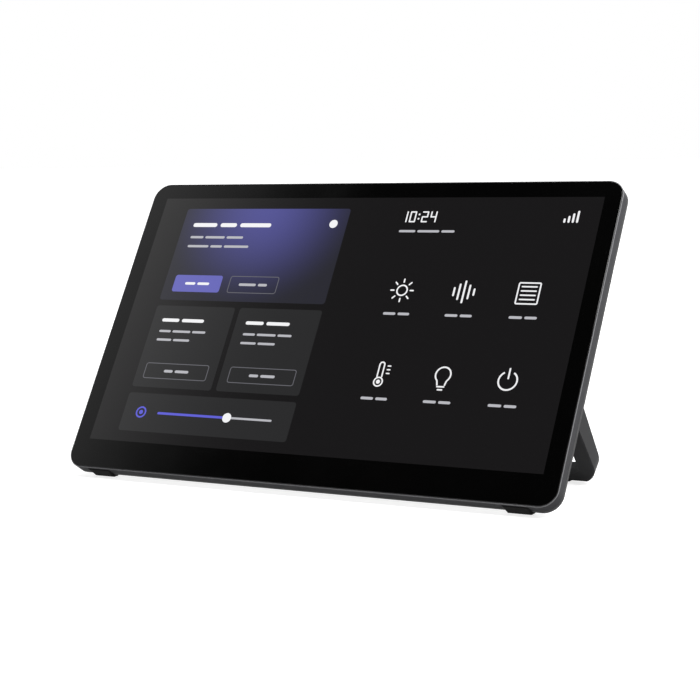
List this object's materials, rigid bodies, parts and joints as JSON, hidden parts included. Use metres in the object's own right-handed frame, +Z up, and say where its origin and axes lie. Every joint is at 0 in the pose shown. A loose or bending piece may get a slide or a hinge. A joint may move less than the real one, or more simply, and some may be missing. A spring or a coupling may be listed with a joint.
{
  "type": "tabletop touch console",
  "caption": "Flat touch display console in a thin dark housing, tilted on a folding U-shaped stand with friction hinges and rubber feet.",
  "frame": {"origin": "on the table, under the middle of the object's bounding box", "axes": "+X to the right of somebody facing the screen, +Y away from them, +Z up"},
  "size_m": [0.2748, 0.098, 0.1469],
  "materials": {
    "black_glass": "polished black-backed cover glass, the picture drawn on in the render",
    "tape": "black bonding foam",
    "clear_film": "clear sensor film",
    "display_glass": "dark liquid crystal cell",
    "white_film": "white optical film",
    "clear_acrylic": "clear acrylic light guide",
    "light_bar": "white strip with pale yellow emitters",
    "sheet_metal": "plain zinc-plated sheet",
    "dark_grey_paint": "fine satin dark grey",
    "rear_plastic": "fine-textured dark grey moulding",
    "screw_steel": "plated steel",
    "black_screw": "black oxide steel",
    "circuit_board": "green solder mask",
    "chip_black": "black moulded package",
    "thermal_pad": "soft grey-blue pad",
    "heat_spreader": "plain aluminium plate",
    "shield_metal": "tinned sheet",
    "connector_plastic": "cream nylon",
    "socket_metal": "nickel-plated shell",
    "flex_film": "amber polyimide",
    "rubber_black": "matt black rubber",
    "hinge_metal": "dark cast zinc",
    "stand_paint": "fine satin dark grey over cast aluminium",
    "pin_steel": "ground steel",
    "washer_steel": "spring steel",
    "cap_plastic": "dark moulded cap"
  },
  "bodies": {
    "panel": {"cover_glass": "black_glass", "glass_tape": "tape", "touch_sensor": "clear_film", "lcd_cell": "display_glass", "diffuser_sheet": "white_film", "light_guide": "clear_acrylic", "reflector_sheet": "white_film", "led_bar": "light_bar", "backlight_tray": "sheet_metal", "front_frame": "dark_grey_paint", "display_chassis": "sheet_metal", "rear_cover": "rear_plastic", "chassis_screws": "screw_steel", "rear_screws": "black_screw", "board_screws": "screw_steel", "hinge_screws": "screw_steel", "main_board": "circuit_board", "processor": "chip_black", "thermal_pad": "thermal_pad", "heat_spreader": "heat_spreader", "memory_chips": "chip_black", "shield_can": "shield_metal", "flex_connectors": "connector_plastic", "hdmi_socket": "socket_metal", "usb_socket_inner": "socket_metal", "usb_socket_outer": "socket_metal", "display_flex": "flex_film", "touch_flex": "flex_film", "front_foot_right": "rubber_black", "front_foot_left": "rubber_black", "hinge_bracket_right": "hinge_metal", "hinge_bracket_left": "hinge_metal"},
    "stand": {"stand_bail": "stand_paint", "stand_pad": "rubber_black", "hinge_pin_right": "pin_steel", "hinge_pin_left": "pin_steel", "hinge_nut_right": "pin_steel", "hinge_nut_left": "pin_steel", "hinge_washer_right": "washer_steel", "hinge_washer_left": "washer_steel", "pivot_cap_right": "cap_plastic", "pivot_cap_left": "cap_plastic"}
  },
  "joints": [
    {"name": "stand_hinge", "type": "hinge", "parent": "panel", "child": "stand", "pos_m": [0, 0.00062, 0.04822], "axis": [1, 0, 0], "range_deg": [-73, 57]}
  ]
}
